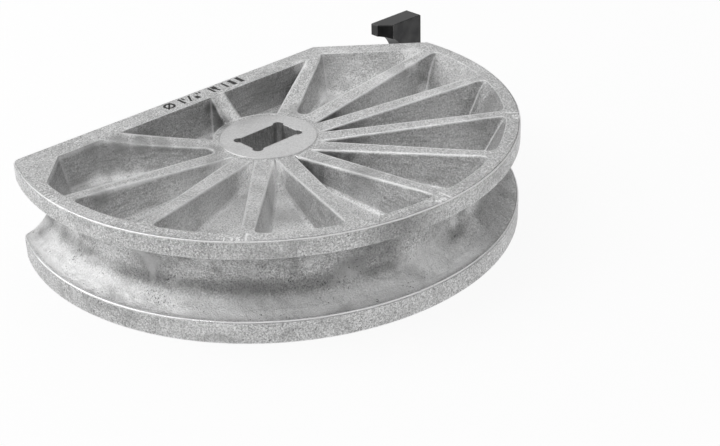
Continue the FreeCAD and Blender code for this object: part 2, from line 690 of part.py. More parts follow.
os.makedirs("parts", exist_ok=True)
for body in [former, hook, *screws]:
    if body.Shape.isNull() or not body.Shape.isValid():
        raise RuntimeError(f"{body.Label} has no valid shape")
    body.Shape.exportStep(f"parts/{body.Label}.step")
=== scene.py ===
"""A bending die for round tube: an aluminium half disc with a groove in its rim, and a black steel hook.

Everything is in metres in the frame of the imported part: +Z is up, and the drive hole's axis is at x = y = 0.
"""
import json
import math

import bmesh
import bpy
from mathutils import Matrix, Vector


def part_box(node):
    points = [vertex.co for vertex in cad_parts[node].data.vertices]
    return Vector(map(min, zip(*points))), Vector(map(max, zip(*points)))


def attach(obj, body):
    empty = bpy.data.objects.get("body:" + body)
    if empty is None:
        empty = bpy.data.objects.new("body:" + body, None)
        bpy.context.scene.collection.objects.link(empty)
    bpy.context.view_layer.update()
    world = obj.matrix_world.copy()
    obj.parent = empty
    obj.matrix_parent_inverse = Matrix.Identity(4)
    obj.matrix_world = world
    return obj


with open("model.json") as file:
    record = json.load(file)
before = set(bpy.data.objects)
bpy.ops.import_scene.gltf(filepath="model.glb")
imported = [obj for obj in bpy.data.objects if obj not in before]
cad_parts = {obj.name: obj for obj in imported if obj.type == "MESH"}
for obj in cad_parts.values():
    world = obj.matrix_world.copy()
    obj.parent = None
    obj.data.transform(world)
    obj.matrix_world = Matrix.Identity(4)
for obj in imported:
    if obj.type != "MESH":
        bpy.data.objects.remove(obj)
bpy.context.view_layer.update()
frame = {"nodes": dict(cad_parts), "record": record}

# The casting is one piece of aluminium, poured in a sand mould and tumbled, so its skin is a matte silver
# with a fine sandy grain. The rim's lands are ground flat, the hub's face is turned and the drive hole is
# broached.
MM = 0.001
casting = frame["nodes"]["bending_former"]
casting_top_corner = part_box("bending_former")[1]
die_height = casting_top_corner.z
rim_radius = casting_top_corner.x
tube_groove = next(mount for mount in frame["record"]["mounts"] if mount["name"] == "tube_groove")


def linear(code, alpha=1.0):
    """Turn an sRGB hex colour into the linear values that a shader takes."""
    shares = [int(code[start:start + 2], 16) / 255 for start in (1, 3, 5)]
    values = [share / 12.92 if share <= 0.04045 else ((share + 0.055) / 1.055) ** 2.4 for share in shares]
    return values + [alpha]


def node(tree, kind, feeds, **settings):
    """Add a node, set its options and feed its inputs with values or links; return its outputs.

    Inputs that share a name are fed by number. A Map Range turns input 0, between inputs 1 and 2, into what
    lies between inputs 3 and 4.
    """
    made = tree.nodes.new(kind)
    for option, given in settings.items():
        setattr(made, option, given)
    for socket, given in feeds.items():
        if isinstance(given, bpy.types.NodeSocket):
            tree.links.new(given, made.inputs[socket])
        else:
            made.inputs[socket].default_value = given
    return made.outputs


def new_material(name):
    """Make an empty node material and return it with its tree and its place in millimetres."""
    material = bpy.data.materials.new(name)
    material.use_nodes = True
    tree = material.node_tree
    tree.nodes.clear()
    place = node(tree, "ShaderNodeTexCoord", {})["Object"]
    millimetres = node(tree, "ShaderNodeVectorMath", {0: place, "Scale": 1 / MM}, operation="SCALE")[0]
    return material, tree, millimetres


# As-cast aluminium looks like a matte silver: a soft sheen, a sandy grain, small dark pits and a few stains.
# All lengths in this material are in millimetres, as its place is.
cast_aluminium, tree, place = new_material("as_cast_aluminium")
half_height = die_height / MM / 2
rim = rim_radius / MM
hub_face_radius = 26.0
hub_radius = 29.1
drive_hole_reach = 19.0
floor_height = 6.0
groove_radius = tube_groove["dims"]["r_mm"]
groove_middle = tube_groove["pos_m"][2] / MM
groove_lip = groove_middle - groove_radius
groove_bottom_reach = rim - groove_radius

# The spots of each pattern have a size, a detail and a roughness. The grain of moulding sand is finer than
# the render can show, so it is drawn as coarse as it needs to be.
GRAIN = (0.8, 3.0, 0.7)
SKIN = (2.6, 2.0, 0.55)
CLOUD = (15.0, 3.0, 0.6)
SPECK = (1.1, 2.0, 0.8)
WAVE = (13.0, 2.0, 0.5)
grain, skin, cloud, speck, wave = [
    node(
        tree, "ShaderNodeTexNoise",
        {"Vector": place, "Scale": 1 / size, "Detail": detail, "Roughness": roughness},
    )["Fac"]
    for size, detail, roughness in (GRAIN, SKIN, CLOUD, SPECK, WAVE)
]

# Stains are wide and torn at their edges. Streaks are drawn out along the level, and scratches upright.
STAIN_SIZE = 30.0
STREAK_SIZE = 1.6
SCRATCH_SIZE = 0.75
LEVEL_SQUEEZE = (0.12, 0.12, 1.0)
UPRIGHT_SQUEEZE = (1.0, 1.0, 0.13)
stain = node(
    tree, "ShaderNodeTexNoise",
    {"Vector": place, "Scale": 1 / STAIN_SIZE, "Detail": 4.0, "Roughness": 0.65, "Distortion": 0.6},
)["Fac"]
level_place = node(tree, "ShaderNodeVectorMath", {0: place, 1: LEVEL_SQUEEZE}, operation="MULTIPLY")[0]
streak = node(
    tree, "ShaderNodeTexNoise",
    {"Vector": level_place, "Scale": 1 / STREAK_SIZE, "Detail": 4.0, "Roughness": 0.6, "Distortion": 0.8},
)["Fac"]
upright_place = node(tree, "ShaderNodeVectorMath", {0: place, 1: UPRIGHT_SQUEEZE}, operation="MULTIPLY")[0]
scratch = node(
    tree, "ShaderNodeTexNoise",
    {"Vector": upright_place, "Scale": 1 / SCRATCH_SIZE, "Detail": 2.0, "Roughness": 0.7},
)["Fac"]

# Masks tell the parts of the casting apart, by the distance from the drive axis, the distance from the
# parting plane at half height, and the way that the face looks
place_x, place_y, place_z = node(tree, "ShaderNodeSeparateXYZ", {0: place})
flat_place = node(tree, "ShaderNodeVectorMath", {0: place, 1: (1.0, 1.0, 0.0)}, operation="MULTIPLY")[0]
reach = node(tree, "ShaderNodeVectorMath", {0: flat_place}, operation="LENGTH")["Value"]
outward = node(tree, "ShaderNodeVectorMath", {0: flat_place}, operation="NORMALIZE")[0]
lift = node(tree, "ShaderNodeMath", {0: place_z, 1: half_height}, operation="SUBTRACT")[0]
lift = node(tree, "ShaderNodeMath", {0: lift}, operation="ABSOLUTE")[0]
surface = node(tree, "ShaderNodeNewGeometry", {})
facing = node(
    tree, "ShaderNodeVectorMath", {0: surface["True Normal"], 1: outward}, operation="DOT_PRODUCT",
)["Value"]
normal_z = node(tree, "ShaderNodeSeparateXYZ", {0: surface["True Normal"]})["Z"]
level = node(tree, "ShaderNodeMath", {0: normal_z}, operation="ABSOLUTE")[0]
upright = node(tree, "ShaderNodeMapRange", {0: level, 1: 0.35, 2: 0.6, 3: 1.0, 4: 0.0})[0]
not_level = node(tree, "ShaderNodeMapRange", {0: level, 1: 0.8, 2: 0.95, 3: 1.0, 4: 0.0})[0]

# The outside is the rim's two flanges and the groove between them
far_out = node(
    tree, "ShaderNodeMapRange", {0: reach, 1: groove_bottom_reach - 6.5, 2: groove_bottom_reach - 2.5},
)[0]
outside = node(tree, "ShaderNodeMapRange", {0: facing, 1: 0.0, 2: 0.1})[0]
outside = node(tree, "ShaderNodeMath", {0: outside, 1: far_out}, operation="MULTIPLY")[0]
not_outside = node(tree, "ShaderNodeMath", {0: 1.0, 1: outside}, operation="SUBTRACT")[0]

# The hub's turned face is level, and the walls of the drive hole are upright
at_hub = node(
    tree, "ShaderNodeMapRange",
    {0: reach, 1: hub_face_radius - 0.1, 2: hub_face_radius + 0.1, 3: 1.0, 4: 0.0},
)[0]
hub = node(tree, "ShaderNodeMapRange", {0: level, 1: 0.6, 2: 0.9})[0]
hub = node(tree, "ShaderNodeMath", {0: hub, 1: at_hub}, operation="MULTIPLY")[0]
not_hub = node(tree, "ShaderNodeMath", {0: 1.0, 1: hub}, operation="SUBTRACT")[0]
broached = node(
    tree, "ShaderNodeMapRange", {0: reach, 1: drive_hole_reach, 2: drive_hole_reach + 0.2, 3: 1.0, 4: 0.0},
)[0]
broached = node(tree, "ShaderNodeMath", {0: broached, 1: upright}, operation="MULTIPLY")[0]

# The pockets are what lies beyond the hub and below the rim's land, and isn't outside
inside = node(tree, "ShaderNodeMapRange", {0: reach, 1: hub_radius - 1.0, 2: hub_radius + 1.0})[0]
below_land = node(
    tree, "ShaderNodeMapRange", {0: lift, 1: half_height - 1.5, 2: half_height - 0.3, 3: 1.0, 4: 0.0},
)[0]
for limit in (below_land, not_outside):
    inside = node(tree, "ShaderNodeMath", {0: inside, 1: limit}, operation="MULTIPLY")[0]
pocket_floor = node(
    tree, "ShaderNodeMapRange", {0: lift, 1: floor_height + 0.3, 2: floor_height + 2.0, 3: 1.0, 4: 0.0},
)[0]
pocket_floor = node(tree, "ShaderNodeMath", {0: pocket_floor, 1: inside}, operation="MULTIPLY")[0]
pocket_wall = node(tree, "ShaderNodeMath", {0: inside, 1: upright}, operation="MULTIPLY")[0]

# The inner end of a pocket on the bending half is a soft trough, which carries a painted highlight on the left
# and painted shade elsewhere. The mask follows the pockets' middles: azimuth is 0 at the front and grows
# towards the hook.
rib_pitch = math.radians(22.5)
trough_middle = 1.0
trough_side = 4.5
nose_start = 42.0
nose_end = 62.0
left_end = -18.0
right_start = -10.0
frontward = node(tree, "ShaderNodeMath", {0: place_y, 1: -1.0}, operation="MULTIPLY")[0]
azimuth = node(tree, "ShaderNodeMath", {0: place_x, 1: frontward}, operation="ARCTAN2")[0]
aside = node(tree, "ShaderNodeMath", {0: azimuth, 1: rib_pitch}, operation="DIVIDE")[0]
aside = node(tree, "ShaderNodeMath", {0: aside}, operation="FRACT")[0]
aside = node(tree, "ShaderNodeMath", {0: aside, 1: 0.5}, operation="SUBTRACT")[0]
for factor in (rib_pitch, reach):
    aside = node(tree, "ShaderNodeMath", {0: aside, 1: factor}, operation="MULTIPLY")[0]
aside = node(tree, "ShaderNodeMath", {0: aside}, operation="ABSOLUTE")[0]
trough = node(
    tree, "ShaderNodeMapRange", {0: aside, 1: trough_middle, 2: trough_side, 3: 1.0, 4: 0.0},
    interpolation_type="SMOOTHSTEP",
)[0]
nose = node(
    tree, "ShaderNodeMapRange", {0: reach, 1: nose_start, 2: nose_end, 3: 1.0, 4: 0.0},
    interpolation_type="SMOOTHSTEP",
)[0]
bending_side = node(tree, "ShaderNodeMath", {0: place_y, 1: 0.0}, operation="LESS_THAN")[0]
upper_side = node(tree, "ShaderNodeMath", {0: place_z, 1: half_height}, operation="GREATER_THAN")[0]
left_side = node(tree, "ShaderNodeMapRange", {0: place_x, 1: left_end, 2: right_start, 3: 1.0, 4: 0.0})[0]
for limit in (nose, bending_side, upper_side, left_side, inside):
    trough = node(tree, "ShaderNodeMath", {0: trough, 1: limit}, operation="MULTIPLY")[0]
nose_shade = node(tree, "ShaderNodeMath", {0: 1.0, 1: left_side}, operation="SUBTRACT")[0]
for limit in (nose, bending_side, inside, not_level):
    nose_shade = node(tree, "ShaderNodeMath", {0: nose_shade, 1: limit}, operation="MULTIPLY")[0]

# Edges are rounded by the mould, most of all inside the pockets and in the far corner's pocket
outer_round = 0.9 * MM
pocket_round = 2.8 * MM
trough_round = 2.0 * MM
far_corner_round = 4.5 * MM
far_corner_middle = (-93.0, 24.0, 0.0)
far_corner_reach = 28.0
far_corner_fade = 8.0
far_corner = node(
    tree, "ShaderNodeVectorMath", {0: flat_place, 1: far_corner_middle}, operation="DISTANCE",
)["Value"]
far_corner = node(
    tree, "ShaderNodeMapRange",
    {0: far_corner, 1: far_corner_reach, 2: far_corner_reach + far_corner_fade, 3: 1.0, 4: 0.0},
)[0]
far_corner = node(tree, "ShaderNodeMath", {0: far_corner, 1: inside}, operation="MULTIPLY")[0]
rounding = node(tree, "ShaderNodeMapRange", {0: inside, 3: outer_round, 4: pocket_round})[0]
for share, added in ((trough, trough_round), (far_corner, far_corner_round)):
    rounding = node(tree, "ShaderNodeMath", {0: share, 1: added, 2: rounding}, operation="MULTIPLY_ADD")[0]
soft_normal = node(tree, "ShaderNodeBevel", {"Radius": rounding}, samples=12)[0]
turn_of_edge = node(
    tree, "ShaderNodeVectorMath", {0: soft_normal, 1: surface["Normal"]}, operation="DOT_PRODUCT",
)["Value"]
edge = node(
    tree, "ShaderNodeMapRange", {0: turn_of_edge, 1: 0.998, 2: 0.88}, interpolation_type="SMOOTHSTEP",
)[0]

# The two edges of the rim that face up, at its land and under its groove, carry thin painted highlight lines
rim_reach = node(tree, "ShaderNodeMapRange", {0: reach, 1: rim - 1.1, 2: rim - 0.5})[0]
land_line = node(tree, "ShaderNodeMapRange", {0: lift, 1: half_height - 0.9, 2: half_height - 0.4})[0]
land_line = node(tree, "ShaderNodeMath", {0: land_line, 1: upper_side}, operation="MULTIPLY")[0]
lip_line = node(tree, "ShaderNodeMath", {0: place_z, 1: groove_lip}, operation="SUBTRACT")[0]
lip_line = node(tree, "ShaderNodeMath", {0: lip_line}, operation="ABSOLUTE")[0]
lip_line = node(tree, "ShaderNodeMapRange", {0: lip_line, 1: 0.5, 2: 1.0, 3: 1.0, 4: 0.0})[0]
highlight_line = node(tree, "ShaderNodeMath", {0: land_line, 1: lip_line}, operation="MAXIMUM")[0]
highlight_line = node(tree, "ShaderNodeMath", {0: highlight_line, 1: rim_reach}, operation="MULTIPLY")[0]

# In a trough and on a highlight line the normal leans up, as it does on the rounding that the solid leaves out
TROUGH_SLANT = (0.0, 0.0, 0.9)
LINE_SLANT = 3.0
line_slant = node(tree, "ShaderNodeVectorMath", {0: outward, 1: (0.0, 0.0, 1.0)}, operation="ADD")[0]
line_weight = node(tree, "ShaderNodeMath", {0: highlight_line, 1: LINE_SLANT}, operation="MULTIPLY")[0]
for slant, weight in ((TROUGH_SLANT, trough), (line_slant, line_weight)):
    slant = node(tree, "ShaderNodeVectorMath", {0: slant, "Scale": weight}, operation="SCALE")[0]
    soft_normal = node(tree, "ShaderNodeVectorMath", {0: soft_normal, 1: slant}, operation="ADD")[0]
soft_normal = node(tree, "ShaderNodeVectorMath", {0: soft_normal}, operation="NORMALIZE")[0]

# The bare skin is a mix of two greys. The start and the weights stretch the patterns' narrow range to the
# whole mix.
TONE_START = -1.375
tone = TONE_START
for pattern, weight in ((cloud, 0.45), (skin, 0.5), (grain, 2.8)):
    tone = node(tree, "ShaderNodeMath", {0: pattern, 1: weight, 2: tone}, operation="MULTIPLY_ADD")[0]
bare_skin = node(
    tree, "ShaderNodeMix", {0: tone, 6: linear("#8E8E8E"), 7: linear("#FCFCFC")}, data_type="RGBA",
)[2]

# The walls of the pockets carry level streaks and a painted light that lifts them. They are darker again in
# level streaks, and the inner ends of the pockets away from the troughs carry painted shade; both come and go
# in clouds.
streaked = node(tree, "ShaderNodeMapRange", {0: streak, 1: 0.52, 2: 0.74, 3: 0.0, 4: 0.6})[0]
streaked = node(tree, "ShaderNodeMath", {0: streaked, 1: pocket_wall}, operation="MULTIPLY")[0]
painted_wall_light = node(tree, "ShaderNodeMath", {0: pocket_wall, 1: 0.2}, operation="MULTIPLY")[0]
wall_streaks_and_shade = node(tree, "ShaderNodeMapRange", {0: streak, 1: 0.42, 2: 0.62, 3: 0.05, 4: 0.22})[0]
wall_streaks_and_shade = node(tree, "ShaderNodeMath", {0: wall_streaks_and_shade, 1: pocket_wall}, operation="MULTIPLY")[0]
wall_streaks_and_shade = node(tree, "ShaderNodeMath", {0: wall_streaks_and_shade, 1: nose_shade}, operation="MAXIMUM")[0]
wall_shade_cloud = node(tree, "ShaderNodeMapRange", {0: cloud, 1: 0.35, 2: 0.65, 3: 0.15, 4: 0.9})[0]
wall_streaks_and_shade = node(tree, "ShaderNodeMath", {0: wall_streaks_and_shade, 1: wall_shade_cloud}, operation="MULTIPLY")[0]

# The drive hole is grey with upright tool marks, and the hub's face is a smooth pale grey
hole_grey = node(tree, "ShaderNodeMapRange", {0: scratch, 1: 0.35, 2: 0.6, 3: 0.9, 4: 0.4})[0]
hole_grey = node(tree, "ShaderNodeMath", {0: hole_grey, 1: broached}, operation="MULTIPLY")[0]
hub_tone = node(tree, "ShaderNodeMapRange", {0: grain, 1: 0.3, 2: 0.7})[0]
hub_colour = node(
    tree, "ShaderNodeMix", {0: hub_tone, 6: linear("#C6C6C6"), 7: linear("#D6D6D6")}, data_type="RGBA",
)[2]
turned = node(tree, "ShaderNodeMath", {0: hub, 1: 0.8}, operation="MULTIPLY")[0]

# The floors carry painted light, and the troughs and the foot of the ramp a painted highlight, mottled by the
# grain
ramp_foot_middle = (75.0, 28.0, 0.0)
ramp_foot_stretch = (0.2, 0.1, 0.0)
ramp_foot_highlight = node(tree, "ShaderNodeVectorMath", {0: place, 1: ramp_foot_middle}, operation="SUBTRACT")[0]
ramp_foot_highlight = node(tree, "ShaderNodeVectorMath", {0: ramp_foot_highlight, 1: ramp_foot_stretch}, operation="MULTIPLY")[0]
ramp_foot_highlight = node(tree, "ShaderNodeVectorMath", {0: ramp_foot_highlight}, operation="LENGTH")["Value"]
ramp_foot_highlight = node(tree, "ShaderNodeMapRange", {0: ramp_foot_highlight, 1: 0.7, 2: 1.3, 3: 1.0, 4: 0.0})[0]
ramp_foot_highlight = node(tree, "ShaderNodeMath", {0: ramp_foot_highlight, 1: inside}, operation="MULTIPLY")[0]
painted_floor_light = node(tree, "ShaderNodeMath", {0: pocket_floor, 1: 0.55}, operation="MULTIPLY")[0]
for bright_part in (trough, ramp_foot_highlight):
    painted_floor_light = node(tree, "ShaderNodeMath", {0: painted_floor_light, 1: bright_part}, operation="MAXIMUM")[0]
sand = node(tree, "ShaderNodeMapRange", {0: grain, 1: 0.42, 2: 0.58, 3: 0.2, 4: 1.0})[0]
painted_floor_light = node(tree, "ShaderNodeMath", {0: painted_floor_light, 1: sand}, operation="MULTIPLY")[0]

# Every edge is painted bright, partly as wear and partly as a painted highlight on its rounding, a little less
# inside the pockets
edge_wear_and_highlight = node(tree, "ShaderNodeMapRange", {0: inside, 3: 0.95, 4: 0.85})[0]
edge_wear_and_highlight = node(tree, "ShaderNodeMath", {0: edge, 1: edge_wear_and_highlight}, operation="MULTIPLY")[0]

# The groove's turn is -1 at its lower lip, 0 at its middle and 1 at its upper lip
groove_turn = node(
    tree, "ShaderNodeMapRange",
    {0: place_z, 1: groove_lip, 2: groove_middle + groove_radius, 3: -1.0, 4: 1.0}, clamp=False,
)[0]
in_groove = node(tree, "ShaderNodeMath", {0: groove_turn}, operation="ABSOLUTE")[0]
in_groove = node(tree, "ShaderNodeMapRange", {0: in_groove, 1: 0.98, 2: 1.02, 3: 1.0, 4: 0.0})[0]
in_groove = node(tree, "ShaderNodeMath", {0: in_groove, 1: outside}, operation="MULTIPLY")[0]
lower_half = node(tree, "ShaderNodeMapRange", {0: groove_turn, 1: -0.1, 2: -0.5})[0]
upper_half = node(tree, "ShaderNodeMapRange", {0: groove_turn, 1: -0.4, 2: 0.0})[0]

# The groove carries a painted glint at the front, and to the left of that a painted dark reflection on its
# upper half. Each stretch has the azimuth of its middle and half its length, in radians, and its strength.
GLINT_STRETCH = (-0.05, 0.2, 0.85)
DARK_REFLECTION_STRETCH = (-0.26, 0.16, 0.5)
stretches = []
for middle, half_length, strength in (GLINT_STRETCH, DARK_REFLECTION_STRETCH):
    away = node(tree, "ShaderNodeMath", {0: azimuth, 1: middle}, operation="SUBTRACT")[0]
    away = node(tree, "ShaderNodeMath", {0: away}, operation="ABSOLUTE")[0]
    stretches.append(node(
        tree, "ShaderNodeMapRange", {0: away, 1: 0.04, 2: half_length, 3: strength, 4: 0.0},
        interpolation_type="SMOOTHSTEP",
    )[0])
painted_glint, dark_reflection_stretch = stretches
away_from_glint = node(tree, "ShaderNodeMath", {0: 1.0, 1: painted_glint}, operation="SUBTRACT")[0]

# It is blotched all along, with a painted dark reflection in a band below its middle and painted shade on its
# lower half towards the hook
dark_band_turn = -0.42
hook_end_start = 0.15
hook_end_full = 0.35
shaded = node(tree, "ShaderNodeMath", {0: groove_turn, 1: dark_band_turn}, operation="SUBTRACT")[0]
shaded = node(tree, "ShaderNodeMath", {0: shaded}, operation="ABSOLUTE")[0]
shaded = node(
    tree, "ShaderNodeMapRange", {0: shaded, 1: 0.05, 2: 0.3, 3: 0.5, 4: 0.0}, interpolation_type="SMOOTHSTEP",
)[0]
blotch = node(tree, "ShaderNodeMapRange", {0: wave, 1: 0.54, 2: 0.68, 3: 0.0, 4: 0.4})[0]
shaded = node(tree, "ShaderNodeMath", {0: shaded, 1: blotch}, operation="MAXIMUM")[0]
shaded = node(tree, "ShaderNodeMath", {0: shaded, 1: away_from_glint}, operation="MULTIPLY")[0]
hook_end_shade = node(
    tree, "ShaderNodeMapRange", {0: azimuth, 1: hook_end_start, 2: hook_end_full, 3: 0.0, 4: 0.3},
    interpolation_type="SMOOTHSTEP",
)[0]
hook_end_shade = node(tree, "ShaderNodeMath", {0: hook_end_shade, 1: lower_half}, operation="MULTIPLY")[0]
shaded = node(tree, "ShaderNodeMath", {0: shaded, 1: hook_end_shade}, operation="MAXIMUM")[0]
shaded = node(tree, "ShaderNodeMath", {0: shaded, 1: in_groove}, operation="MULTIPLY")[0]
for limit in (upper_half, outside):
    dark_reflection_stretch = node(tree, "ShaderNodeMath", {0: dark_reflection_stretch, 1: limit}, operation="MULTIPLY")[0]
shaded = node(tree, "ShaderNodeMath", {0: shaded, 1: dark_reflection_stretch}, operation="MAXIMUM")[0]

# Under the dark band it carries a painted bright reflection, most of all at its lower lip, with painted glints
# in spots
painted_groove_reflection = node(
    tree, "ShaderNodeMapRange", {0: groove_turn, 1: -0.5, 2: -0.8, 3: 0.0, 4: 0.65},
    interpolation_type="SMOOTHSTEP",
)[0]
glint = node(tree, "ShaderNodeMapRange", {0: wave, 1: 0.44, 2: 0.32, 3: 0.0, 4: 0.5})[0]
lip_highlight = node(tree, "ShaderNodeMapRange", {0: groove_turn, 1: -0.8, 2: -0.92, 3: 0.0, 4: 0.95})[0]
lower_glint = node(tree, "ShaderNodeMath", {0: painted_glint, 1: lower_half}, operation="MULTIPLY")[0]
for bright_part in (glint, lip_highlight, lower_glint):
    painted_groove_reflection = node(tree, "ShaderNodeMath", {0: painted_groove_reflection, 1: bright_part}, operation="MAXIMUM")[0]
fading = node(
    tree, "ShaderNodeMapRange", {0: azimuth, 1: hook_end_start, 2: hook_end_full, 3: 1.0, 4: 0.2},
)[0]
for limit in (fading, in_groove):
    painted_groove_reflection = node(tree, "ShaderNodeMath", {0: painted_groove_reflection, 1: limit}, operation="MULTIPLY")[0]

# Some places carry painted shade, and others painted light. Each was picked in the photograph and carried onto
# the part through the camera. A row has the middle of its place in whole millimetres, then its radius and the
# share of the skin that it covers.
SHADED_PLACES = [
    (-8, 32, 44, 7, 1.0),
    (-7, 38, 50, 4, 0.9),
    (-6, 28, 41, 4, 0.6),
    (-29, 10, 43, 6, 0.35),
    (-40, -5, 42, 8, 0.3),
    (-5, -41, 42, 8, 0.2),
    (10, -37, 42, 8, 0.25),
    (33, 13, 42, 8, 0.4),
    (33, 40, 46, 12, 0.25),
    (102, 12, 47, 8, 0.4),
    (98, 3, 52, 9, 0.35),
    (118, -12, 43, 7, 0.15),
    (112, -5, 44, 5, 0.3),
    (-77, 39, 44, 14, 0.25),
    (-84, 40, 54, 6, 0.35),
    (-69, 36, 52, 7, 0.5),
    (-59, 32, 50, 7, 0.5),
    (-49, 27, 48, 7, 0.5),
    (-40, 21, 46, 6, 0.3),
    (-109, -4, 51, 7, 0.4),
    (-95, 39, 34, 8, 0.3),
    (102, -66, 49, 9, 0.3),
    (78, -84, 47, 10, 0.2),
    (-52, -38, 34, 16, 0.2),
    (-40, -58, 34, 12, 0.35),
    (-5, -75, 46, 13, 0.4),
    (-17, -132, 51, 9, 0.3),
    (-117, 43, 15, 9, 0.35),
    (-109, -40, 30, 12, 0.4),
    (-86, -84, 23, 10, 0.3),
    (-44, -108, 24, 10, 0.8),
    (-25, -115, 24, 9, 0.2),
]
LIT_PLACES = [
    (61, 41, 53, 6, 1.0),
    (-59, 41, 53, 5, 0.7),
    (-10, 40, 34, 6, 0.7),
    (2, 34, 48, 6, 1.0),
    (2, 40, 52, 4, 1.0),
    (3, 31, 45, 4, 0.8),
    (84, 33, 48, 16, 0.5),
    (70, 29, 34, 9, 1.0),
    (84, -4, 47, 16, 0.4),
    (106, -4, 52, 5, 0.9),
    (117, 7, 54, 6, 0.8),
    (113, -5, 36, 5, 0.9),
    (120, -36, 54, 12, 0.4),
    (104, -47, 53, 5, 0.5),
    (86, -41, 44, 16, 0.3),
    (65, -71, 47, 14, 0.3),
    (-6, -62, 36, 12, 0.4),
    (-2, -80, 34, 12, 0.6),
    (-57, -64, 41, 16, 0.45),
    (-35, -44, 40, 12, 0.5),
    (-62, -32, 40, 18, 0.5),
    (-91, -42, 48, 14, 0.35),
    (-62, -6, 37, 13, 0.6),
    (-106, 34, 38, 8, 0.35),
    (-83, 38, 34, 6, 1.0),
    (-74, 33, 34, 6, 1.0),
    (-65, 28, 34, 6, 0.9),
    (-46, -113, 16, 12, 0.8),
    (-30, -118, 15, 8, 0.7),
    (-16, -120, 16, 8, 0.9),
    (-8, -120, 18, 9, 1.0),
    (8, -117, 22, 9, 0.7),
    (36, -112, 22, 10, 0.6),
    (-132, -19, 52, 14, 0.4),
    (-114, 32, 20, 7, 0.45),
    (-117, 12, 23, 10, 0.4),
    (-117, -14, 22, 9, 0.4),
    (-105, -81, 4, 16, 0.4),
    (-116, -65, 11, 12, 0.4),
    (-86, -101, 50, 18, 0.3),
    (-122, 46, 55, 12, 0.25),
]
# A place is full up to the first share of its radius and gone at the second, and the grain mottles it
FULL_UNTIL = 0.3
FADED_AT = 1.3
mottle = node(tree, "ShaderNodeMapRange", {0: grain, 1: 0.4, 2: 0.6, 3: 0.45, 4: 1.0})[0]
marked = []
for places in (SHADED_PLACES, LIT_PLACES):
    spots = 0.0
    for x, y, z, radius, share in places:
        away = node(tree, "ShaderNodeVectorMath", {0: place, 1: (x, y, z)}, operation="DISTANCE")["Value"]
        spot = node(
            tree, "ShaderNodeMapRange",
            {0: away, 1: radius * FULL_UNTIL, 2: radius * FADED_AT, 3: share, 4: 0.0},
            interpolation_type="SMOOTHSTEP",
        )[0]
        spots = node(tree, "ShaderNodeMath", {0: spots, 1: spot}, operation="MAXIMUM")[0]
    marked.append(node(tree, "ShaderNodeMath", {0: spots, 1: mottle}, operation="MULTIPLY")[0])
painted_shade_spots, wear_and_painted_light = marked

# Pits, upright scratches and stains are strongest outside, where tubes and tables rub. The scratches lie in
# the stained places, most of them on the hook's side.
pit_limit = node(tree, "ShaderNodeMapRange", {0: cloud, 1: 0.42, 2: 0.64, 3: 0.76, 4: 0.6})[0]
pit = node(tree, "ShaderNodeMath", {0: speck, 1: pit_limit}, operation="SUBTRACT")[0]
pit = node(tree, "ShaderNodeMapRange", {0: pit, 1: 0.0, 2: 0.04})[0]
scratched = node(tree, "ShaderNodeMapRange", {0: scratch, 1: 0.6, 2: 0.66})[0]
scratched_place = node(tree, "ShaderNodeMapRange", {0: stain, 1: 0.4, 2: 0.52})[0]
hook_side = node(tree, "ShaderNodeMapRange", {0: place_x, 1: 20.0, 2: 80.0, 3: 0.25, 4: 1.0})[0]
for limit in (scratched_place, hook_side):
    scratched = node(tree, "ShaderNodeMath", {0: scratched, 1: limit}, operation="MULTIPLY")[0]
pit = node(tree, "ShaderNodeMath", {0: pit, 1: scratched}, operation="MAXIMUM")[0]
pit_share = node(tree, "ShaderNodeMapRange", {0: outside, 3: 0.2, 4: 0.85})[0]
for limit in (pit_share, not_hub):
    pit = node(tree, "ShaderNodeMath", {0: pit, 1: limit}, operation="MULTIPLY")[0]
stained = node(tree, "ShaderNodeMapRange", {0: stain, 1: 0.52, 2: 0.72})[0]
stain_share = node(tree, "ShaderNodeMapRange", {0: outside, 3: 0.1, 4: 0.45})[0]
stained = node(tree, "ShaderNodeMath", {0: stained, 1: stain_share}, operation="MULTIPLY")[0]
# The painted highlight lines are nearly white
painted_line_highlight = node(tree, "ShaderNodeMath", {0: highlight_line, 1: 0.9}, operation="MULTIPLY")[0]

# Each layer covers the ones before it by its share
colour = bare_skin
for share, tint in (
    (streaked, linear("#8C8C8C")),
    (painted_wall_light, linear("#E8E8E8")),
    (wall_streaks_and_shade, linear("#5E5E5E")),
    (hole_grey, linear("#9A9A9A")),
    (painted_floor_light, linear("#FFFFFF")),
    (edge_wear_and_highlight, linear("#FFFFFF")),
    (turned, hub_colour),
    (shaded, linear("#6A6A6A")),
    (painted_groove_reflection, linear("#FCFCFC")),
    (painted_shade_spots, linear("#5E5E5E")),
    (wear_and_painted_light, linear("#FFFFFF")),
    (pit, linear("#3C3C3C")),
    (stained, linear("#6C6C6C")),
    (painted_line_highlight, linear("#FFFFFF")),
):
    colour = node(tree, "ShaderNodeMix", {0: share, 6: colour, 7: tint}, data_type="RGBA")[2]

# The turned hub is smoother than the skin, and so are the troughs, the places with painted light and the
# painted highlight lines
roughness = node(tree, "ShaderNodeMapRange", {0: skin, 1: 0.3, 2: 0.7, 3: 0.42, 4: 0.55})[0]
for share, change in ((hub, -0.08), (trough, -0.2), (wear_and_painted_light, -0.14), (highlight_line, -0.15)):
    roughness = node(tree, "ShaderNodeMath", {0: share, 1: change, 2: roughness}, operation="MULTIPLY_ADD")[0]

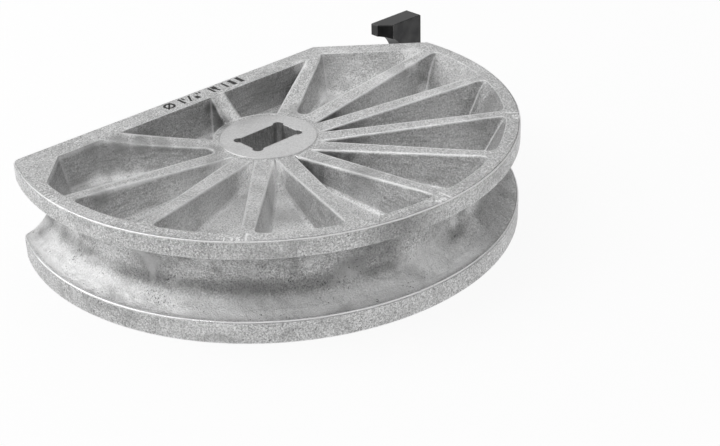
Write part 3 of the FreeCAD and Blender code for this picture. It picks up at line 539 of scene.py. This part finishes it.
# The grain and the waves of the skin stand in relief, least on the hub and the painted highlight lines. Pits
# are sunk.
relief = 0.0
for pattern, height in ((grain, 0.42), (skin, 0.2), (wave, 1.6)):
    relief = node(tree, "ShaderNodeMath", {0: pattern, 1: height, 2: relief}, operation="MULTIPLY_ADD")[0]
for smooth_part, kept in ((hub, 0.15), (highlight_line, 0.4)):
    relief_share = node(tree, "ShaderNodeMapRange", {0: smooth_part, 3: 1.0, 4: kept})[0]
    relief = node(tree, "ShaderNodeMath", {0: relief, 1: relief_share}, operation="MULTIPLY")[0]
tool_mark = node(tree, "ShaderNodeMath", {0: broached, 1: scratch}, operation="MULTIPLY")[0]
for share, height in ((pit, -0.1), (tool_mark, 0.2)):
    relief = node(tree, "ShaderNodeMath", {0: share, 1: height, 2: relief}, operation="MULTIPLY_ADD")[0]
bump = node(
    tree, "ShaderNodeBump", {"Strength": 1.0, "Distance": MM, "Height": relief, "Normal": soft_normal},
)[0]
shader = node(
    tree, "ShaderNodeBsdfPrincipled",
    {"Base Color": colour, "Metallic": 0.9, "Roughness": roughness, "Normal": bump},
)
node(tree, "ShaderNodeOutputMaterial", {"Surface": shader[0]})
casting.data.materials.clear()
casting.data.materials.append(cast_aluminium)

# The hook is cut from a steel bar and blackened, so it is nearly black with a dull sheen. Its edges are
# rubbed to bare metal where tubes are pushed in.
hook = frame["nodes"]["tube_hook"]
HOOK_CLOUD = 9.0
HOOK_GRAIN = 0.8
hook_round = 0.6 * MM
blackened_steel, tree, place = new_material("blackened_steel")
cloud = node(
    tree, "ShaderNodeTexNoise", {"Vector": place, "Scale": 1 / HOOK_CLOUD, "Detail": 4.0, "Roughness": 0.6},
)["Fac"]
grain = node(tree, "ShaderNodeTexNoise", {"Vector": place, "Scale": 1 / HOOK_GRAIN, "Detail": 2.0})["Fac"]
surface = node(tree, "ShaderNodeNewGeometry", {})
soft_normal = node(tree, "ShaderNodeBevel", {"Radius": hook_round}, samples=10)[0]
turn_of_edge = node(
    tree, "ShaderNodeVectorMath", {0: soft_normal, 1: surface["Normal"]}, operation="DOT_PRODUCT",
)["Value"]
edge = node(
    tree, "ShaderNodeMapRange", {0: turn_of_edge, 1: 0.99, 2: 0.9}, interpolation_type="SMOOTHSTEP",
)[0]
wear_and_painted_light = node(tree, "ShaderNodeMapRange", {0: cloud, 1: 0.35, 2: 0.6, 3: 0.25, 4: 0.9})[0]
wear_and_painted_light = node(tree, "ShaderNodeMath", {0: wear_and_painted_light, 1: edge}, operation="MULTIPLY")[0]
black_tone = node(tree, "ShaderNodeMapRange", {0: cloud, 1: 0.35, 2: 0.65})[0]
colour = node(
    tree, "ShaderNodeMix", {0: black_tone, 6: linear("#3A3A3B"), 7: linear("#4E4E4E")}, data_type="RGBA",
)[2]
colour = node(tree, "ShaderNodeMix", {0: wear_and_painted_light, 6: colour, 7: linear("#9E9E9E")}, data_type="RGBA")[2]
roughness = node(tree, "ShaderNodeMapRange", {0: cloud, 1: 0.3, 2: 0.7, 3: 0.38, 4: 0.5})[0]
relief = node(tree, "ShaderNodeMath", {0: grain, 1: 0.03}, operation="MULTIPLY")[0]
bump = node(
    tree, "ShaderNodeBump", {"Strength": 1.0, "Distance": MM, "Height": relief, "Normal": soft_normal},
)[0]
shader = node(
    tree, "ShaderNodeBsdfPrincipled",
    {"Base Color": colour, "Metallic": 1.0, "Roughness": roughness, "Normal": bump},
)
node(tree, "ShaderNodeOutputMaterial", {"Surface": shader[0]})
hook.data.materials.clear()
hook.data.materials.append(blackened_steel)

# Two cap screws of plain steel hold the foot of the hook against the clipped edge. Their heads are turned and
# their hexagons are broached.
SCREW_GRAIN = 0.6
screw_round = 0.4 * MM
screw_steel, tree, place = new_material("plain_screw_steel")
grain = node(tree, "ShaderNodeTexNoise", {"Vector": place, "Scale": 1 / SCREW_GRAIN, "Detail": 3.0})["Fac"]
soft_normal = node(tree, "ShaderNodeBevel", {"Radius": screw_round}, samples=6)[0]
tone = node(tree, "ShaderNodeMapRange", {0: grain, 1: 0.3, 2: 0.7})[0]
colour = node(
    tree, "ShaderNodeMix", {0: tone, 6: linear("#6E6E6E"), 7: linear("#8C8C8C")}, data_type="RGBA",
)[2]
roughness = node(tree, "ShaderNodeMapRange", {0: grain, 1: 0.3, 2: 0.7, 3: 0.28, 4: 0.42})[0]
relief = node(tree, "ShaderNodeMath", {0: grain, 1: 0.02}, operation="MULTIPLY")[0]
bump = node(
    tree, "ShaderNodeBump", {"Strength": 1.0, "Distance": MM, "Height": relief, "Normal": soft_normal},
)[0]
shader = node(
    tree, "ShaderNodeBsdfPrincipled",
    {"Base Color": colour, "Metallic": 1.0, "Roughness": roughness, "Normal": bump},
)
node(tree, "ShaderNodeOutputMaterial", {"Surface": shader[0]})
for name in ("hook_screw_1", "hook_screw_2"):
    frame["nodes"][name].data.materials.clear()
    frame["nodes"][name].data.materials.append(screw_steel)

# Four lines are scribed across the rim's land, one for each eighth of a turn, with the angle of the bend
# stamped beside each. The marks are drawn in bright metal: partly the bare metal where they cut through the
# skin, and partly a painted highlight where their flanks catch the light.
land_width = 7.7 * MM
mark_width = 1.0 * MM
mark_height = 0.06 * MM
line_start = rim_radius - land_width - 0.3 * MM
line_end = rim_radius - 0.7 * MM
digit_height = 3.6 * MM
digit_spacing = 1.25
digit_thickening = 0.12 * MM
digit_foot = rim_radius - 0.8 * MM
digit_gap = 2.4 * MM
# A font's size is this much larger than the height of its digits
SIZE_OVER_HEIGHT = 1.4
SCRIBED_GRAIN = 1.5
# Each bend in degrees, and the share of its line that is missing at the inner end
BENDS = ((45, 0.0), (90, 0.0), (135, 0.0), (180, 0.8))


def piece(name, mesh, material):
    """Make an object of the mesh at the origin, and let it ride on the part."""
    made = bpy.data.objects.new(name, mesh)
    bpy.context.scene.collection.objects.link(made)
    made.data.materials.append(material)
    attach(made, "root")
    return made


def bar(shape, length, width, height, place):
    """Add a thin bar to a shape: its length runs along the place's X axis from the origin."""
    stretch = Matrix.Diagonal((length, width, height, 1.0))
    middle = Matrix.Translation((length / 2, 0.0, height / 2))
    bmesh.ops.create_cube(shape, size=1.0, matrix=place @ middle @ stretch)


scribed, tree, place = new_material("scribed_aluminium")
grain = node(tree, "ShaderNodeTexNoise", {"Vector": place, "Scale": 1 / SCRIBED_GRAIN, "Detail": 2.0})["Fac"]
tone = node(tree, "ShaderNodeMapRange", {0: grain, 1: 0.3, 2: 0.65})[0]
colour = node(
    tree, "ShaderNodeMix", {0: tone, 6: linear("#E0E0E0"), 7: linear("#FCFCFC")}, data_type="RGBA",
)[2]
roughness = node(tree, "ShaderNodeMapRange", {0: grain, 1: 0.3, 2: 0.7, 3: 0.3, 4: 0.5})[0]
shader = node(
    tree, "ShaderNodeBsdfPrincipled", {"Base Color": colour, "Metallic": 0.6, "Roughness": roughness},
)
node(tree, "ShaderNodeOutputMaterial", {"Surface": shader[0]})

lines = bmesh.new()
numbers = bmesh.new()
for bend, missing in BENDS:
    turned = Matrix.Rotation(math.radians(-bend), 4, "Z")
    start = line_start + missing * (line_end - line_start)
    line_place = turned @ Matrix.Translation((start, 0.0, die_height))
    bar(lines, line_end - start, mark_width, mark_height, line_place)
    text = bpy.data.curves.new(f"number_{bend}", "FONT")
    text.body = str(bend)
    text.size = digit_height * SIZE_OVER_HEIGHT
    text.space_character = digit_spacing
    text.align_x = "RIGHT"
    text.extrude = mark_height / 2
    text.offset = digit_thickening
    text_object = bpy.data.objects.new(text.name, text)
    bpy.context.scene.collection.objects.link(text_object)
    finished_text = text_object.evaluated_get(bpy.context.evaluated_depsgraph_get())
    mesh = bpy.data.meshes.new_from_object(finished_text)
    bpy.data.objects.remove(text_object)
    stand = Matrix.Translation((digit_foot, -digit_gap, die_height))
    mesh.transform(turned @ stand @ Matrix.Rotation(math.radians(90), 4, "Z"))
    numbers.from_mesh(mesh)
for name, shape in (("scribed_lines", lines), ("stamped_angles", numbers)):
    mesh = bpy.data.meshes.new(name)
    shape.to_mesh(mesh)
    shape.free()
    piece(name, mesh, scribed)

# A row of printed marks in black ink stands on the land along the straight back edge. It is kept to plain
# shapes: a ring with a stroke through it, bars and blocks.
INK_GRAIN = 1.2
print_foot = 45.0 * MM
print_height = 6.8 * MM
print_thickness = 0.03 * MM
ring_stroke = 1.4 * MM
ring_radius = 2.7 * MM
ring_middle = -27.3 * MM
RING_SIDES = 32
# The sides of the ring are this much longer than its chords, so that they join outside too
SIDE_OVERLAP = 1.15
# Each bar has its place along the edge and, as shares of the print's height, its foot and its length, then
# its width and its lean in degrees
PRINTED_BARS = [
    (-30.2, -0.02, 1.25, 1.0, -38.0),
    (-19.0, 0.0, 1.0, 1.5, 0.0),
    (-16.9, 0.52, 0.48, 1.1, 0.0),
    (-15.0, 0.0, 1.1, 1.1, -24.0),
    (-9.4, 0.0, 0.5, 2.6, 0.0),
    (-6.9, 0.68, 0.3, 0.9, 0.0),
    (-5.0, 0.68, 0.3, 0.9, 0.0),
    (1.6, 0.0, 1.0, 1.5, 0.0),
    (4.4, 0.45, 0.55, 3.0, 0.0),
    (5.0, 0.0, 0.5, 1.4, 12.0),
    (11.0, 0.0, 1.0, 1.5, 0.0),
    (16.2, 0.0, 1.0, 2.4, 0.0),
    (21.6, 0.0, 1.0, 2.4, 0.0),
]
ink, tree, place = new_material("black_printing_ink")
grain = node(tree, "ShaderNodeTexNoise", {"Vector": place, "Scale": 1 / INK_GRAIN, "Detail": 3.0})["Fac"]
tone = node(tree, "ShaderNodeMapRange", {0: grain, 1: 0.35, 2: 0.75})[0]
colour = node(
    tree, "ShaderNodeMix", {0: tone, 6: linear("#161616"), 7: linear("#303030")}, data_type="RGBA",
)[2]
shader = node(tree, "ShaderNodeBsdfPrincipled", {"Base Color": colour, "Metallic": 0.0, "Roughness": 0.6})
node(tree, "ShaderNodeOutputMaterial", {"Surface": shader[0]})

marks = bmesh.new()
ring_place = Matrix.Translation((ring_middle, print_foot + print_height / 2, die_height))
ring_side = 2 * math.pi * ring_radius / RING_SIDES * SIDE_OVERLAP
for side in range(RING_SIDES):
    turn = Matrix.Rotation(2 * math.pi * side / RING_SIDES, 4, "Z")
    side_place = ring_place @ turn @ Matrix.Translation((0.0, ring_radius, 0.0))
    bar(marks, ring_side, ring_stroke, print_thickness, side_place)
for across, foot, share, width, lean in PRINTED_BARS:
    start = Vector((across * MM, print_foot + foot * print_height, die_height))
    turn = Matrix.Rotation(math.radians(90 + lean), 4, "Z")
    bar(marks, share * print_height, width * MM, print_thickness, Matrix.Translation(start) @ turn)
mesh = bpy.data.meshes.new("printed_marks")
marks.to_mesh(mesh)
marks.free()
piece("printed_marks", mesh, ink)

# The die stands on a wide white sheet. Camera rays and mirrored rays see the sheet nearly as white light, and
# the rest of what they see is the sheet's own lit surface, so that a faint shadow stays.
floor_size = 6.0
shadow_share = 0.1
sheet_shape = bmesh.new()
bmesh.ops.create_grid(sheet_shape, x_segments=1, y_segments=1, size=floor_size / 2)
mesh = bpy.data.meshes.new("white_sheet")
sheet_shape.to_mesh(mesh)
sheet_shape.free()
sheet = bpy.data.objects.new("white_sheet", mesh)
bpy.context.scene.collection.objects.link(sheet)
white_paper, tree, place = new_material("white_paper")
path = node(tree, "ShaderNodeLightPath", {})
seen = path["Is Camera Ray"]
for ray in ("Is Glossy Ray", "Is Transmission Ray"):
    seen = node(tree, "ShaderNodeMath", {0: seen, 1: path[ray]}, operation="MAXIMUM")[0]
glow_share = node(tree, "ShaderNodeMath", {0: seen, 1: 1 - shadow_share}, operation="MULTIPLY")[0]
paper = node(tree, "ShaderNodeBsdfDiffuse", {"Color": linear("#F8F8F8")})[0]
glow = node(tree, "ShaderNodeEmission", {"Color": (1.0, 1.0, 1.0, 1.0), "Strength": 1.0})[0]
mixed = node(tree, "ShaderNodeMixShader", {0: glow_share, 1: paper, 2: glow})[0]
node(tree, "ShaderNodeOutputMaterial", {"Surface": mixed})
sheet.data.materials.append(white_paper)

# The camera looks down on the rounded side of the die, with the hook at the far right. Its place and turn
# were fitted to the round rim, the straight edges and the groove of the photograph.
camera_place = Vector((-0.44170, -0.53748, 0.37466))
heading = math.radians(316.676)
height_angle = math.radians(29.04)
camera_roll = -0.027
focal_length = 72.34
sensor_width = 36.0
back = Vector((
    math.sin(heading) * math.cos(height_angle),
    -math.cos(heading) * math.cos(height_angle),
    math.sin(height_angle),
))
right = Vector((0.0, 0.0, 1.0)).cross(back).normalized()
up = back.cross(right)
camera_right = math.cos(camera_roll) * right + math.sin(camera_roll) * up
camera_up = math.cos(camera_roll) * up - math.sin(camera_roll) * right
camera_turn = Matrix((camera_right, camera_up, back)).transposed().to_4x4()
camera = bpy.data.objects.new("camera", bpy.data.cameras.new("camera"))
bpy.context.scene.collection.objects.link(camera)
camera.data.sensor_width = sensor_width
camera.data.sensor_fit = "HORIZONTAL"
camera.data.lens = focal_length
camera.matrix_world = Matrix.Translation(camera_place) @ camera_turn
bpy.context.scene.camera = camera

# Wide lamps stand round the die as in a light tent, and most of their light comes from the left. Each has
# its place from the target, to the right, towards the camera and up, then its size in metres and its power
# in watts.
level_back = Vector((back.x, back.y, 0.0)).normalized()
lamp_target = Vector((0.0, -0.02, 0.03))
LAMPS = [
    ("high_left_lamp", -0.80, 0.0, 1.02, 0.9, 4.3),
    ("low_left_lamp", -1.20, 0.0, 0.49, 0.9, 4.1),
    ("high_right_lamp", 0.80, 0.0, 1.02, 0.9, 0.6),
    ("back_lamp", 0.0, -1.20, 0.49, 0.9, 1.6),
]
for name, aside, towards_camera, above, size, power in LAMPS:
    lamp = bpy.data.objects.new(name, bpy.data.lights.new(name, "AREA"))
    bpy.context.scene.collection.objects.link(lamp)
    lamp.data.shape = "SQUARE"
    lamp.data.size = size
    lamp.data.energy = power
    stand = lamp_target + right * aside + level_back * towards_camera + Vector((0.0, 0.0, above))
    turn = (lamp_target - stand).to_track_quat("-Z", "Y")
    lamp.matrix_world = Matrix.Translation(stand) @ turn.to_matrix().to_4x4()

# The room gives a soft light from above, as a white ceiling does. It is dark below the horizon, where the
# sheet lies.
ceiling_light = 0.86
room = bpy.data.worlds.new("white_room")
bpy.context.scene.world = room
room.use_nodes = True
tree = room.node_tree
tree.nodes.clear()
direction = node(tree, "ShaderNodeTexCoord", {})["Generated"]
above = node(tree, "ShaderNodeSeparateXYZ", {0: direction})["Z"]
strength = node(
    tree, "ShaderNodeMapRange", {0: above, 3: 0.0, 4: ceiling_light}, interpolation_type="SMOOTHSTEP",
)[0]
background = node(tree, "ShaderNodeBackground", {"Color": (1.0, 1.0, 1.0, 1.0), "Strength": strength})[0]
node(tree, "ShaderNodeOutputWorld", {"Surface": background})

bpy.context.scene.view_settings.view_transform = "Standard"
